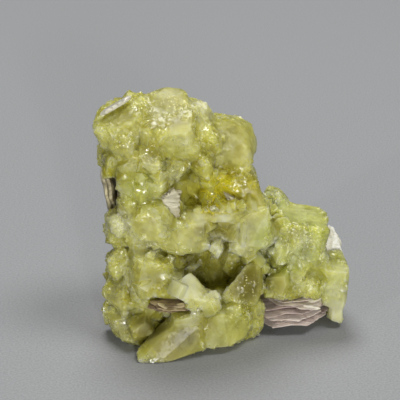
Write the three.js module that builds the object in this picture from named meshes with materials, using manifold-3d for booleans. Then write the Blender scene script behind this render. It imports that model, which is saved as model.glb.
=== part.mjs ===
// A brazilianite specimen: one cluster of intergrown yellow-green crystals with the remains of the
// pegmatite it grew on, which are a layered lilac mica seam and a sliver of the same mica, a rind of
// brown mica, a plate of white mica and three small white flakes.
// Millimetres, +Z up, -Y the front. The origin is on the surface it stands on, under the middle of
// its bounding box.
import * as THREE from "three";
import { ConvexGeometry } from "three/addons/geometries/ConvexGeometry.js";
import { mergeVertices } from "three/addons/utils/BufferGeometryUtils.js";
import Module from "manifold-3d";

const wasm = await Module();
wasm.setup();

// Driving dimensions.
const floorLevel = 0; // everything is cut flat here, where the specimen rests
const seamGap = 0.4; // clearance between the cluster and each piece of matrix in it
const crustSize = [1.8, 3.4]; // smallest and largest half width of the crystals on the sides and back
const crustSink = 0.45; // how deep they sit, as a share of that half width
const crustLift = 0.6; // how far above the floor their middles stay, as a share of that half width
const crustLean = 0.9; // how far they lean away from straight out
const wellOver = 60; // beyond the specimen on every side, for the cut at the floor

// The turn that spreads points evenly over a ball as they go down it, in radians.
const goldenAngle = Math.PI * (3 - Math.sqrt(5));

// Brazilianite's monoclinic cell: its edges in angstroms and the angle between a and c.
const cell = { a: 11.23, b: 10.14, c: 7.09, beta: THREE.MathUtils.degToRad(97.4) };

// Crystal habits. Each row is a form's Miller indices and how far its faces stand from the middle.
const habits = {
  stout: [
    [1, 1, 0, 1.0],
    [0, 1, 0, 1.05],
    [1, 1, 1, 0.95],
    [-1, 0, 1, 0.9],
  ],
  wedge: [
    [1, 1, 0, 0.9],
    [1, 1, 1, 0.8],
    [-1, 0, 1, 0.7],
  ],
  cleaved: [
    [1, 0, 0, 1.0],
    [0, 1, 0, 1.0],
    [0, 0, 1, 1.0],
    [1, 1, 0, 1.2],
  ],
  spear: [
    [1, 1, 0, 0.75],
    [1, 1, 1, 1.2],
    [-1, 1, 1, 1.25],
  ],
};

// A repeatable stream of numbers from 0 to 1.
function dice(seed) {
  let state = seed * 2654435761;
  return () => {
    state = (state + 0x6d2b79f5) | 0;
    let t = Math.imul(state ^ (state >>> 15), 1 | state);
    t = (t + Math.imul(t ^ (t >>> 7), 61 | t)) ^ t;
    return ((t ^ (t >>> 14)) >>> 0) / 4294967296;
  };
}

// The outward direction of the face (h k l), from the reciprocal cell.
function faceDirection(h, k, l) {
  const sine = Math.sin(cell.beta);
  const alongA = h / (cell.a * sine) - (l * Math.cos(cell.beta)) / (cell.c * sine);
  return new THREE.Vector3(alongA, k / cell.b, l / cell.c).normalize();
}

// Every plane of a habit, with the faces that the crystal's symmetry repeats.
function habitPlanes(habit) {
  return habits[habit].flatMap(([h, k, l, distance]) => {
    const faces = [[h, k, l], [-h, k, -l], [h, -k, l], [-h, -k, -l]];
    const alike = new Map(faces.map((face) => [face.map((n) => n || 0).join(), face]));
    return [...alike.values()].map((face) => ({ normal: faceDirection(...face), distance }));
  });
}

// A direction on the unit ball, from its height and how far round it is.
function outwardAt(height, around) {
  const level = THREE.MathUtils.clamp(height, -1, 1);
  const flat = Math.sqrt(1 - level * level);
  return new THREE.Vector3(flat * Math.cos(around), flat * Math.sin(around), level);
}

// Planes at random over a rounded box, for a broken lump with no crystal faces of its own.
function lumpPlanes(count, boxy, roll) {
  return Array.from({ length: count }, (_, i) => {
    const height = 1 - (2 * i + 1) / count + (roll() - 0.5) * 0.3;
    const around = i * goldenAngle + (roll() - 0.5) * 0.7;
    const normal = outwardAt(height, around);
    const box = Math.abs(normal.x) + Math.abs(normal.y) + Math.abs(normal.z);
    return { normal, distance: (1 + (box - 1) * boxy) * (0.9 + 0.2 * roll()) };
  });
}

// The corners of the convex solid that lies inside every plane.
function cornersInside(planes) {
  const corners = [];
  const crossing = new THREE.Matrix3();
  for (let i = 0; i < planes.length; i++)
    for (let j = i + 1; j < planes.length; j++)
      for (let k = j + 1; k < planes.length; k++) {
        const [a, b, c] = [planes[i], planes[j], planes[k]];
        crossing.set(...a.normal, ...b.normal, ...c.normal);
        if (Math.abs(crossing.determinant()) < 1e-3) continue;
        const point = new THREE.Vector3(a.distance, b.distance, c.distance);
        point.applyMatrix3(crossing.clone().invert());
        const inside = planes.every((p) => p.normal.dot(point) < p.distance + 1e-6);
        if (inside && corners.every((q) => q.distanceTo(point) > 1e-3)) corners.push(point);
      }
  return corners;
}

// A turn given in degrees about X, then Y, then Z.
const spinOf = (turn) => new THREE.Euler(...turn.map(THREE.MathUtils.degToRad), "ZYX");

// A manifold-3d solid from corners, sized to `half` about its middle, turned in degrees and placed.
function solidFrom(corners, half, turn, at) {
  const bounds = new THREE.Box3().setFromPoints(corners);
  const middle = bounds.getCenter(new THREE.Vector3());
  const scale = new THREE.Vector3(...half).multiplyScalar(2);
  scale.divide(bounds.getSize(new THREE.Vector3()));
  const spin = spinOf(turn);
  const place = new THREE.Vector3(...at);
  const moved = (p) => p.clone().sub(middle).multiply(scale).applyEuler(spin).add(place);
  return hullSolid(corners.map(moved));
}

function hullSolid(points) {
  const hull = new ConvexGeometry(points);
  hull.deleteAttribute("normal");
  const merged = mergeVertices(hull, 1e-4);
  return new wasm.Manifold(
    new wasm.Mesh({
      numProp: 3,
      vertProperties: merged.attributes.position.array,
      triVerts: new Uint32Array(merged.index.array),
    }),
  );
}

// A crystal with the faces of its habit: middle, half lengths and turn.
function crystal(habit, at, half, turn = [0, 0, 0]) {
  return solidFrom(cornersInside(habitPlanes(habit)), half, turn, at);
}

// A broken lump: middle, half lengths, turn, its own seed, how many faces and how boxy.
function lump(at, half, turn, seed, faces = 20, boxy = 0.35) {
  return solidFrom(cornersInside(lumpPlanes(faces, boxy, dice(seed))), half, turn, at);
}

// A cut can leave a loose splinter: this is the solid without it.
function largestOf(solid) {
  return solid.decompose().sort((a, b) => b.volume() - a.volume())[0];
}

// A cleavage blade or slab, straight from its corners.
const shard = (corners) => hullSolid(corners.map((p) => new THREE.Vector3(...p)));

// The upper mass, from the left shoulder over the crest to the smooth lobe on the right.
function upperMass() {
  return [
    lump([-10.5, 1.5, 37.6], [10.6, 8, 6.8], [0, 0, 8], 11, 16),
    lump([-17.2, 0.6, 37.8], [4.8, 6, 6.2], [0, 10, -10], 12, 14),
    lump([0.8, 4.2, 35.2], [6.4, 6.6, 5.6], [0, 10, 12], 13, 24, 0.1),
    lump([-9.8, 1, 43.6], [4.6, 4, 3.1], [8, 0, 10], 14, 16),
    crystal("cleaved", [-17.4, -1, 41.7], [4.8, 4.6, 2.3], [18, -22, -14]),
    crystal("cleaved", [-18, 0.6, 42.4], [3.6, 2.6, 2], [6, -27, 0]),
    crystal("stout", [-14.4, 1.4, 43.8], [3, 3.4, 2.4], [0, -10, 20]),
    crystal("stout", [-3.6, 1, 42.2], [2.9, 2.8, 2.6], [10, 16, 15]),
    crystal("wedge", [-7, 0.2, 43.6], [2.6, 2.8, 2.6], [20, 10, -20]),
    crystal("cleaved", [-7.2, -3.4, 40], [3.2, 3.6, 4], [24, -16, -10]),
    crystal("stout", [-12.2, -4.8, 40.8], [2.6, 2.8, 2.4], [10, 20, 30]),
    crystal("stout", [-17.2, -4, 38.6], [3, 2.8, 3.2], [0, 0, 25]),
    crystal("wedge", [-12.8, -4.6, 37.4], [3.2, 3.2, 3], [10, 20, -30]),
    crystal("stout", [-2, -2.8, 39], [2.8, 3.2, 3.2], [10, -14, 30]),
    crystal("wedge", [-19.2, -1.8, 34.6], [2.6, 4, 3], [15, 20, -15]),
    crystal("wedge", [-16, -4.8, 34.6], [2.8, 2.8, 2.4], [-10, 0, 40]),
    crystal("stout", [-12.2, -6.2, 35.6], [2.5, 2.4, 2], [25, 10, 40]),
    crystal("wedge", [-8, -6, 34.6], [2.5, 2.6, 1.8], [20, -14, -20]),
    crystal("stout", [-3.6, -3, 34.8], [3, 3.4, 3], [14, 6, 25]),
    crystal("stout", [2.4, 1.8, 34.6], [4.4, 4.6, 4.4], [12, 24, 40]),
  ];
}

// The pillar that carries the upper mass, on the left.
function pillar() {
  return [
    lump([-12.6, 2, 24], [7.6, 8.4, 9.5], [0, 0, 5], 21, 14),
    crystal("stout", [-16.2, -4.2, 31], [2.9, 3, 2.9], [10, 0, 20]),
    crystal("stout", [-13.4, -5.4, 30.4], [2.4, 2.8, 2.9], [20, 10, -30]),
    crystal("stout", [-16.4, -3.6, 27.2], [2.7, 3.2, 2.6], [0, -10, 10]),
    crystal("cleaved", [-10.8, -6, 31.6], [1.8, 2.4, 1.8], [15, 0, -20]),
    crystal("wedge", [-10, -5.4, 27.2], [3.6, 4, 3.4], [18, 10, 12]),
    crystal("stout", [-18, -3, 23.4], [3.3, 3.4, 2.8], [5, 8, -14]),
    crystal("cleaved", [-19, 0.4, 20.6], [2, 4, 2.6], [0, 15, 10]),
    lump([-12.6, -3.6, 23.4], [4.4, 5.2, 4.8], [0, 0, 0], 22, 16, 0.4),
    crystal("cleaved", [-6.2, -4.4, 22.8], [3.5, 4.4, 3.7], [12, -8, 12]),
    crystal("wedge", [-9.2, -6.6, 20.4], [2.6, 2.4, 2], [0, 10, 30]),
  ];
}

// The base below the pillar, with the blades that reach the front.
function leftBase() {
  return [
    lump([-12.6, 0, 9.4], [8, 9.6, 9.6], [0, 0, 0], 31, 14),
    crystal("stout", [-18.6, -2.4, 15], [2.9, 3.4, 3.2], [10, 0, -20]),
    crystal("cleaved", [-12.8, -5, 15.6], [3.8, 4.2, 3.6], [14, 6, 12]),
    crystal("stout", [-13.4, -6.8, 12.4], [3.4, 3.2, 2.9], [20, 0, -12]),
    crystal("stout", [-18.8, -3.8, 9.2], [3.4, 4, 3.2], [10, 10, 20]),
    crystal("cleaved", [-18.8, -3.2, 3.8], [2.3, 3.4, 2.4], [10, -14, 15]),
    crystal("stout", [-16.6, -6.6, 2], [2.6, 3, 2.2], [0, 0, 40]),
    crystal("cleaved", [-9.4, -5.2, 12.4], [2.8, 4.4, 2.8], [0, 0, -6]),
    // the blades that lie along the foot
    shard([
      [-15.2, -14.4, 0.2], [-15.2, -12.6, 1.8], [-12, -15, -0.6], [-9, -12.4, 6], [-5.4, -13.4, 1.4],
      [-3.2, -11.8, 6.8], [-3, -12.4, 1.6], [-12, -6, -1], [-4, -5, -1], [-4, -6, 7], [-10, -8, 5.6],
    ]),
    shard([
      [-4, -12, 1.6], [1.5, -11.2, 1.6], [4.6, -9.4, 2.6], [5.6, -8.2, 3.6], [5.2, -8, 6.2],
      [0.6, -9.8, 7.4], [-4, -11.2, 7.4], [-4, -5, -1], [4, -4, -1], [5, -3, 7], [-4, -4, 7.6],
    ]),
    crystal("cleaved", [-5.6, -9.4, 7.2], [3, 2.4, 1.5], [10, -18, 10]),
    crystal("wedge", [-14.6, -8.6, 4.2], [3, 3, 2.6], [30, 20, -20]),
    // the pale blade that crosses the front of the pocket, and the frosted crystal on its tip
    shard([
      [-5.5, -9.4, 16], [-7.4, -11.6, 15.2], [-9, -13, 14.4], [-8.8, -13.6, 13.2], [-3.8, -12.8, 10],
      [-1.6, -11.4, 10.8], [-3.7, -9.6, 14], [-4, -6, 13], [-8, -7, 11], [-4, -7, 9.6],
    ]),
    crystal("stout", [-1.9, -10.8, 10.7], [2.1, 2.2, 2.1], [10, 15, 20]),
  ];
}

// What closes the pocket behind and below, and the ledge over it.
function middle() {
  return [
    lump([4.8, 4.8, 12], [5.4, 5.2, 6.6], [0, 0, 0], 41, 14),
    lump([1, -2.8, 4.8], [7.4, 6.2, 5], [0, 0, 12], 42, 14, 0.5),
    // the ledge, a slab with a frosted front edge
    shard([
      [-7.2, -7.6, 26.6], [-5, -8.4, 25.4], [1.6, -6.8, 26], [1.8, -6.8, 24.4], [8.6, -3.6, 26.4],
      [9, -2, 24.6], [8, 4, 26], [-6, 3, 25.6], [-6, -1, 23.4], [8, 2, 22.6],
    ]),
    // its right end, a flat plate that faces the front
    shard([
      [3.6, -5.6, 24.8], [8.8, -3.8, 26], [9.6, -3, 19.4], [8.6, -3.8, 18], [5.2, -5.4, 19.2],
      [4.4, 0, 25], [9.4, 2, 25.6], [5.6, 1, 18.4], [9.6, 2, 18],
    ]),
    crystal("wedge", [0.4, -2.2, 22.8], [4.2, 3.6, 2.8], [25, 0, 10]),
    crystal("stout", [-0.9, -4.6, 20.1], [1.6, 2, 1.8], [20, 10, 35]),
    crystal("cleaved", [4.1, -1, 18.7], [2.8, 3.8, 2.5], [0, 20, 15]),
    crystal("cleaved", [-2, 0, 21.2], [4, 3, 2], [6, 0, 0]),
    // the dark triangle under its right end
    shard([
      [7.6, -3, 15.4], [4.6, -4.8, 15], [0.4, -8, 11], [3, -8.4, 9], [6.8, -6.4, 7.6],
      [8, -4, 9.8], [2, -2, 6], [8, 2, 8], [8, 2, 15], [1, -4.6, 7],
    ]),
    crystal("wedge", [3, -6.2, 7.4], [3.6, 2.6, 2], [0, -6, 20]),
  ];
}

// The golden crystals in the niche under the lobe.
function goldenNiche() {
  return [
    lump([1.6, 4.6, 28.4], [6, 5, 4.6], [0, 0, 10], 45, 14),
    crystal("cleaved", [3.5, 0.2, 28.2], [3.4, 3.6, 3.6], [-14, -17, 14]),
    crystal("stout", [-1.4, -1.4, 29.2], [2.8, 3.4, 4], [-6, 12, -10]),
    crystal("stout", [-5, 0.6, 29], [2.2, 3, 3.8], [0, -10, 30]),
  ];
}

// The block on the right, with its flat top, and the small crystal that stands behind it.
function rightBlock() {
  return [
    lump([13, 8, 3], [9, 7, 4.6], [0, 0, 0], 52, 12, 0.7),
    crystal("cleaved", [15.2, 4, 18], [4.9, 4.8, 4], [2, 2, -6]),
    crystal("wedge", [10.6, 1.6, 19.6], [3, 3.8, 4.2], [10, 0, 30]),
    crystal("cleaved", [17.7, 2.8, 17.5], [2, 3.6, 3.8], [4, 6, -10]),
    crystal("stout", [13.8, 0.8, 17.8], [2.8, 2.6, 2.6], [20, 0, 10]),
    crystal("stout", [17, 1, 15.6], [2.6, 2.8, 2.2], [10, 10, 15]),
    crystal("wedge", [11.6, 0, 15.8], [2.5, 3.2, 2.8], [5, 25, -15]),
    crystal("cleaved", [21, 3, 9.3], [2.9, 4.6, 4.6], [9, 0, 8]),
    crystal("wedge", [18.4, 1.6, 12.6], [2.8, 3.6, 3.4], [-5, 10, 20]),
    crystal("cleaved", [22, 3.4, 4.2], [1.4, 4, 3.8], [-7, 0, 4]),
    crystal("spear", [14.8, 0, 12.2], [2.6, 2.8, 3.6], [10, 30, 20]),
    crystal("wedge", [11.2, -1, 9.6], [3.2, 3.2, 3.4], [0, 20, 15]),
    crystal("stout", [16.8, -0.2, 9], [3.4, 3.2, 2.6], [5, -15, 10]),
    crystal("wedge", [14, 0.4, 8.4], [3, 3.4, 2.4], [15, 0, -20]),
    crystal("stout", [10.6, 9, 22.8], [2.8, 2.8, 2.2], [0, 10, 20]),
  ];
}

// The matrix: where each book of mica lies, its half lengths across and through its layers.
const books = {
  lilac_mica_seam: {
    at: [14, 0.4, 3.8], half: [7.2, 4.6, 2.7], turn: [4, -2, 4], layers: 5, shift: 0.8, seed: 71,
  },
  lilac_mica_sliver: {
    at: [-9, -9.4, 9.2], half: [4.8, 2.6, 0.9], turn: [4, 3, 4], layers: 2, shift: 0.8, seed: 78,
  },
  white_mica_plate: {
    at: [18.8, 6, 13.6], half: [5.2, 4.8, 1.4], turn: [56, 44, 0], layers: 2, shift: 0.6, seed: 81,
  },
  brown_mica_rind: {
    at: [-18.2, 5.6, 26.4], half: [6, 4.8, 2.6], turn: [0, 84, 0], layers: 3, shift: 0.8, seed: 86,
  },
};
const matrixColours = {
  lilac_mica_seam: 0xa8938f,
  lilac_mica_sliver: 0x8f7a70,
  brown_mica_rind: 0x7c7263,
};
const whiteMica = 0xf0eee2;

const overMatrix = (place) =>
  Object.values(books).some(({ at, half }) => place.distanceTo(new THREE.Vector3(...at)) < half[0]);

// The turn, in degrees, that points a crystal's long axis in a direction.
function turnTo(direction) {
  const upright = new THREE.Vector3(0, 0, 1);
  const swing = new THREE.Quaternion().setFromUnitVectors(upright, direction);
  const spin = new THREE.Euler().setFromQuaternion(swing, "ZYX");
  return [spin.x, spin.y, spin.z].map(THREE.MathUtils.radToDeg);
}

// A lump with crystals grown on the side that `facing` points to: `count` places in all would cover
// the whole lump evenly, and those on its other side are left out.
function crusted(at, half, facing, count, seed) {
  const roll = dice(seed);
  const towards = new THREE.Vector3(...facing).normalize();
  const grown = [lump(at, half, [0, 0, 0], seed, 14)];
  for (let i = 0; i < count; i++) {
    const outward = outwardAt(1 - (2 * i + 1) / count, i * goldenAngle + seed);
    const size = crustSize[0] + (crustSize[1] - crustSize[0]) * roll();
    const lean = new THREE.Vector3(roll() - 0.5, roll() - 0.5, roll() - 0.5);
    const habit = ["cleaved", "wedge"][Math.floor(2 * roll())];
    const place = outward.clone().multiply(new THREE.Vector3(...half));
    place.addScaledVector(outward, -crustSink * size).add(new THREE.Vector3(...at));
    const hidden = outward.dot(towards) < 0.1 || overMatrix(place);
    if (hidden || place.z < crustLift * size) continue;
    const turn = turnTo(outward.addScaledVector(lean, crustLean).normalize());
    const across = size * (0.8 + 0.4 * roll());
    grown.push(crystal(habit, place.toArray(), [size, across, size], turn));
  }
  return grown;
}

// The sides, top and back, rougher and less regular than the front.
function backSide() {
  return [
    crusted([-11, 5.6, 35.4], [9, 6.6, 7.4], [0, 1, 0.5], 20, 61),
    crusted([-12.6, 7.4, 22], [7.2, 6.4, 9], [-0.2, 1, 0], 12, 62),
    crusted([-12.6, 7, 9], [7.6, 7, 9.4], [-0.4, 1, -0.1], 16, 63),
    crusted([1.4, 8.6, 11.4], [9.6, 6.8, 12], [0, 1, 0.2], 16, 64),
    crusted([-2.6, 8.2, 26], [6.6, 5.4, 7.4], [0.2, 1, 0.2], 9, 65),
    crusted([1.2, 7.2, 34.4], [4.2, 4.4, 4.8], [0, 1, 0], 9, 66),
    crusted([13.4, 8, 10.6], [8.6, 7.2, 11], [0.3, 1, 0], 18, 67),
  ].flat();
}

// Mica that grew in books: a stack of thin lumps, each shifted a little from the one below.
function micaBook({ at, half, turn, layers, shift, seed }) {
  const roll = dice(seed);
  const spin = spinOf(turn);
  const thickness = (2 * half[2]) / layers;
  const stack = Array.from({ length: layers }, (_, i) => {
    const level = (i + 0.5) * thickness - half[2];
    const taper = 1 - 0.3 * (level / half[2]) ** 2;
    const middle = new THREE.Vector3(shift * (roll() - 0.5), shift * (roll() - 0.5), level);
    middle.applyEuler(spin).add(new THREE.Vector3(...at));
    const size = [half[0] * taper, half[1] * taper, 0.62 * thickness];
    const tilt = [6, 6, 20].map((most, axis) => turn[axis] + most * (roll() - 0.5));
    return lump(middle.toArray(), size, tilt, seed + i, 11, 0.7);
  });
  return wasm.Manifold.union(stack);
}

// The hollow that a book or a flake sits in: the plain hull of the piece, grown by its clearance.
function hollowFor(solid) {
  const { vertProperties, numVert } = solid.getMesh();
  const ways = [[1, 1, 1], [1, -1, -1], [-1, 1, -1], [-1, -1, 1]];
  const corners = Array.from({ length: numVert }, (_, i) => vertProperties.slice(3 * i, 3 * i + 3));
  const grown = corners.flatMap((p) => ways.map((way) => p.map((n, axis) => n + seamGap * way[axis])));
  return shard(grown);
}

// Loose flakes of white mica stuck to the crystals: the corners of the outer face, and how far the
// flake reaches back from it.
const flakes = {
  white_mica_flake_top: {
    face: [
      [-21.9, -2, 43.4], [-20.4, -2.6, 43.9], [-16.6, -2.6, 46], [-15.9, -0.6, 46.6],
      [-20.6, 0.6, 44.8],
    ],
    back: [0.3, 0.2, -0.8],
  },
  white_mica_flake_front: {
    face: [
      [-10.9, -9.6, 30.3], [-9.2, -9.5, 30.9], [-8.9, -9.2, 32], [-7.8, -9.2, 32.1],
      [-6.8, -9.2, 31.3], [-7, -9.4, 28.8], [-7.2, -9.7, 26], [-7.9, -9.6, 26.1],
    ],
    back: [0, 1, 0.1],
  },
  white_mica_flake_niche: {
    face: [
      [0.4, -4.6, 29.3], [1.2, -4.6, 28.9], [3, -4.6, 28], [4.3, -4.2, 26.9], [2.6, -4.8, 27],
      [1.4, -4.9, 27.6],
    ],
    back: [0, 0.9, 0.1],
  },
};

function flake({ face, back }) {
  return shard([...face, ...face.map((p) => p.map((n, axis) => n + back[axis]))]);
}

// Everything under the floor: a block, from the corners of its top and bottom.
const reach = [-wellOver, wellOver];
const levels = [floorLevel - wellOver, floorLevel];
const underFloor = shard(reach.flatMap((x) => reach.flatMap((y) => levels.map((z) => [x, y, z]))));

const front = [upperMass(), pillar(), leftBase(), middle(), goldenNiche(), rightBlock()];
const grown = wasm.Manifold.union([...front, backSide()].flat());
const matrix = new Map([
  ...Object.entries(books).map(([name, book]) => [name, micaBook(book)]),
  ...Object.entries(flakes).map(([name, one]) => [name, flake(one)]),
]);
const hollows = [...matrix.values()].map(hollowFor);
const cluster = largestOf(grown.subtract(wasm.Manifold.union([underFloor, ...hollows])));

function geometryOf(solid) {
  const { numProp, vertProperties, triVerts } = solid.getMesh();
  const geometry = new THREE.BufferGeometry();
  geometry.setAttribute("position", new THREE.BufferAttribute(new Float32Array(vertProperties), numProp));
  geometry.setIndex(new THREE.BufferAttribute(new Uint32Array(triVerts), 1));
  geometry.computeVertexNormals();
  return geometry;
}

function piece(name, solid, colour, roughness) {
  const material = new THREE.MeshStandardMaterial({ color: colour, roughness, metalness: 0 });
  const mesh = new THREE.Mesh(geometryOf(solid), material);
  mesh.name = name;
  return mesh;
}

const specimen = new THREE.Group();
specimen.add(piece("brazilianite_cluster", cluster, 0xb4b45a, 0.3));
for (const [name, solid] of matrix)
  specimen.add(piece(name, solid.subtract(underFloor), matrixColours[name] ?? whiteMica, 0.5));

const extent = new THREE.Box3().setFromObject(specimen);
const middleOf = extent.getCenter(new THREE.Vector3());
specimen.position.set(-middleOf.x, -middleOf.y, -extent.min.z);

export default specimen;
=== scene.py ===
import math
import random

import bmesh
import bpy
import numpy as np
from mathutils import Euler, Matrix, Vector, noise
from mathutils.bvhtree import BVHTree


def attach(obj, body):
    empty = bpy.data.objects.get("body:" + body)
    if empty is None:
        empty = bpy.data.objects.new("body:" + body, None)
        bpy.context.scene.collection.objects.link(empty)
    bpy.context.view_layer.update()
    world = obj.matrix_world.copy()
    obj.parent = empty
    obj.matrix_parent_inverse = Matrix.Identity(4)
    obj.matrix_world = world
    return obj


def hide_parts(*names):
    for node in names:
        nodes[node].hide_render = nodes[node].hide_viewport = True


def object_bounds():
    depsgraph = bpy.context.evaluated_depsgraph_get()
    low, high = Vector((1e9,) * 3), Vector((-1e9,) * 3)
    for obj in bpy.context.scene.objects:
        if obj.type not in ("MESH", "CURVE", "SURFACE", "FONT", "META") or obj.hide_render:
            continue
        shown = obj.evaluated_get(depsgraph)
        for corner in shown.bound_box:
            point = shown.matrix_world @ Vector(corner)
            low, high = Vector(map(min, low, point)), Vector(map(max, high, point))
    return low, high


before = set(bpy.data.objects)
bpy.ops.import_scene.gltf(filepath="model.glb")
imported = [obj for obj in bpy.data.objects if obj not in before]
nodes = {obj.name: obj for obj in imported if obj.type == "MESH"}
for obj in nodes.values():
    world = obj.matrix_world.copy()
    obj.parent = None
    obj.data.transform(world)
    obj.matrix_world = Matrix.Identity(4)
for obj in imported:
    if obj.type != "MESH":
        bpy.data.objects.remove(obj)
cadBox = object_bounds()
mm = 0.001
print("frame loaded:", ", ".join(sorted(nodes)))


def linear(hexColour, alpha=1.0):
    # sRGB hex to the linear values that a shader wants
    parts = [int(hexColour[i : i + 2], 16) / 255 for i in (1, 3, 5)]
    return (*(c / 12.92 if c <= 0.04045 else ((c + 0.055) / 1.055) ** 2.4 for c in parts), alpha)


def across(size):
    # a texture's scale, from how many mm one of its features measures
    return 1 / (size * mm)


def newMaterial(name):
    material = bpy.data.materials.new(name)
    material.use_nodes = True
    material.node_tree.nodes.clear()
    return material, material.node_tree


def addNode(tree, kind, inputs=None, stops=(), **settings):
    # one node: each input takes a value, a socket or another node, and a colour ramp takes its stops
    node = tree.nodes.new(kind)
    for name, value in settings.items():
        setattr(node, name, value)
    for name, value in (inputs or {}).items():
        source = value.outputs[0] if isinstance(value, bpy.types.Node) else value
        if isinstance(source, bpy.types.NodeSocket):
            tree.links.new(source, node.inputs[name])
        else:
            node.inputs[name].default_value = source
    for number, (place, colour) in enumerate(stops):
        elements = node.color_ramp.elements
        element = elements[number] if number < 2 else elements.new(place)
        element.position = place
        element.color = linear(colour)
    return node


def newObject(name, data):
    thing = bpy.data.objects.new(name, data)
    bpy.context.scene.collection.objects.link(thing)
    return thing


def meshFrom(name, points, faces):
    mesh = bpy.data.meshes.new(name)
    mesh.from_pydata([tuple(p) for p in points], [], [tuple(f) for f in faces])
    mesh.update()
    return mesh


def insideBox(point):
    # the nearest place to a point that is still inside the solid model's box
    return Vector([min(max(c, low), high) for c, low, high in zip(point, *cadBox)])


# The brazilianite: the solid cluster with its finest crystals grown on it. Lengths are in mm.
cluster = {
    "seed": 5,
    # each growth's half widths and least spacing, its share of the skin, how deep its crystals sit in half
    # widths, in how many batches they are joined on, and whether they stand in crevices only
    "growths": [
        {
            "half": (0.75, 1.35), "spacing": 1.5, "share": 1, "sink": (-0.1, 0.4),
            "batches": 5, "crevices": True,
        },
        {
            "half": (0.9, 1.5), "spacing": 2.6, "share": 0.5, "sink": (0.8, 1.05),
            "batches": 4, "crevices": False,
        },
        {
            "half": (0.45, 0.8), "spacing": 1.6, "share": 0.6, "sink": (0.6, 1),
            "batches": 5, "crevices": False,
        },
        {
            "half": (0.28, 0.45), "spacing": 1.05, "share": 0.45, "sink": (0.4, 0.9),
            "batches": 5, "crevices": False,
        },
    ],
    "patches": 0.17,  # patches of growth in each mm
    "tries": 36000,  # places tried for crystals 1 mm apart, and fewer by the square of a wider spacing
    "lean": 0.5,  # how far they lean from straight out
    "apart": 1.45,  # least distance in a batch, in the half widths of both crystals
    "crevice": 3.6,  # how near other skin is on most sides of a crevice
    "matrixClear": 0.9,  # kept free round each piece of mica
    "edge": 1.5,  # the longest edge left on a face, so that it can bend a little
    "flat": 0.9997,  # two faces are one flat face if the cosine between them is over this
    # how many times etching has rounded the big crystals, and how far each time
    "softened": {"grooves": (3, 0.75), "edges": (1, 0.35), "worn": (5, 0.45)},
    "waves": [(2.6, 0.12), (0.8, 0.03)],  # how wide and how high what bends the faces is
    "ridge": 2.2,  # how soon an edge counts as sharp, per radian of its bend
    "tintFill": 1.6,  # how soon a tint is full, inwards from its edge: at 1 only at its middle
}

# Brazilianite is monoclinic: cell edges in angstroms, and the angle between a and c
cell = {"a": 11.23, "b": 10.14, "c": 7.09, "beta": math.radians(97.4)}
habits = {
    "stout": [((1, 1, 0), 1.0), ((0, 1, 0), 1.05), ((1, 1, 1), 0.95), ((-1, 0, 1), 0.9)],
    "wedge": [((1, 1, 0), 0.9), ((1, 1, 1), 0.8), ((-1, 0, 1), 0.7)],
    "cleaved": [((1, 0, 0), 1.0), ((0, 1, 0), 1.0), ((0, 0, 1), 1.0), ((1, 1, 0), 1.2)],
    "spear": [((1, 1, 0), 0.75), ((1, 1, 1), 1.2), ((-1, 1, 1), 1.25)],
}

# single crystals that stand out, in mm and degrees: habit, middle, half lengths and turn
singles = [
    ("stout", (-3.4, -4.2, 28.2), (1.5, 1.6, 1.9), (10, 20, 0)),
    ("wedge", (-1.2, -5, 28), (1.3, 1.2, 1.5), (0, -20, 30)),
    ("stout", (-2.6, -5, 31), (1.9, 1.6, 1.5), (20, 0, 10)),
    ("wedge", (1.6, -5.9, 27), (1.7, 1.4, 1.5), (0, 10, 20)),
    ("stout", (-3, -6.4, 26.6), (1.5, 1.4, 1.1), (10, 0, -20)),
    ("cleaved", (-0.4, -6, 26.8), (1.4, 1.5, 1.3), (20, 10, 40)),
    ("stout", (4.6, -4.6, 27), (1.9, 1.7, 1.8), (0, -14, 30)),
    ("cleaved", (-0.4, -4.9, 22.6), (3.2, 1.7, 2.6), (0, 6, 6)),
    ("stout", (-4.6, -7.4, 26.6), (1.2, 0.9, 1), (0, 10, 30)),
    ("wedge", (-2, -7.3, 26.8), (1.3, 0.9, 1.1), (10, 0, -30)),
    ("stout", (0.8, -7, 26.9), (1.3, 1, 1.1), (0, -14, 10)),
    ("wedge", (3.2, -6.4, 27.1), (1.3, 1, 1.2), (-10, 0, 40)),
    ("cleaved", (3.4, -6.4, 21.6), (0.5, 0.7, 2.6), (4, 5, 20)),
    ("stout", (-1.4, -8, 19.4), (1.5, 1.4, 1.9), (10, 16, 20)),
    ("stout", (-5.8, -7, 15.4), (1.5, 0.7, 0.7), (10, -18, 0)),
    ("stout", (-14.9, -7.4, 33.2), (1.9, 1.7, 1.5), (0, 20, 10)),
    ("wedge", (-18, -6.6, 32.6), (1.7, 1.6, 1.7), (0, -20, 40)),
    ("stout", (-11.6, -8.4, 33.6), (1.7, 1.5, 1.4), (30, 0, 10)),
]

# hollows that stay open, in mm: middle and reach
openPlaces = [
    ((-2.3, -3.8, 13.6), 5.6), ((-5.8, -3.4, 27.4), 2.4), ((8.3, -3.3, 10.5), 2), ((-13.5, -11.1, 4.5), 4.6),
    ((4.5, -7.1, 11.7), 5), ((-6.5, -6, 17), 3.4), ((-7, -12.7, 14.3), 4), ((-0.6, -5, 22.6), 3),
]

# where the crystal is worn smooth, in mm: middle and reach
wornPlaces = [((3, -1, 38), 8), ((7, 4, 34), 7)]

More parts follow.
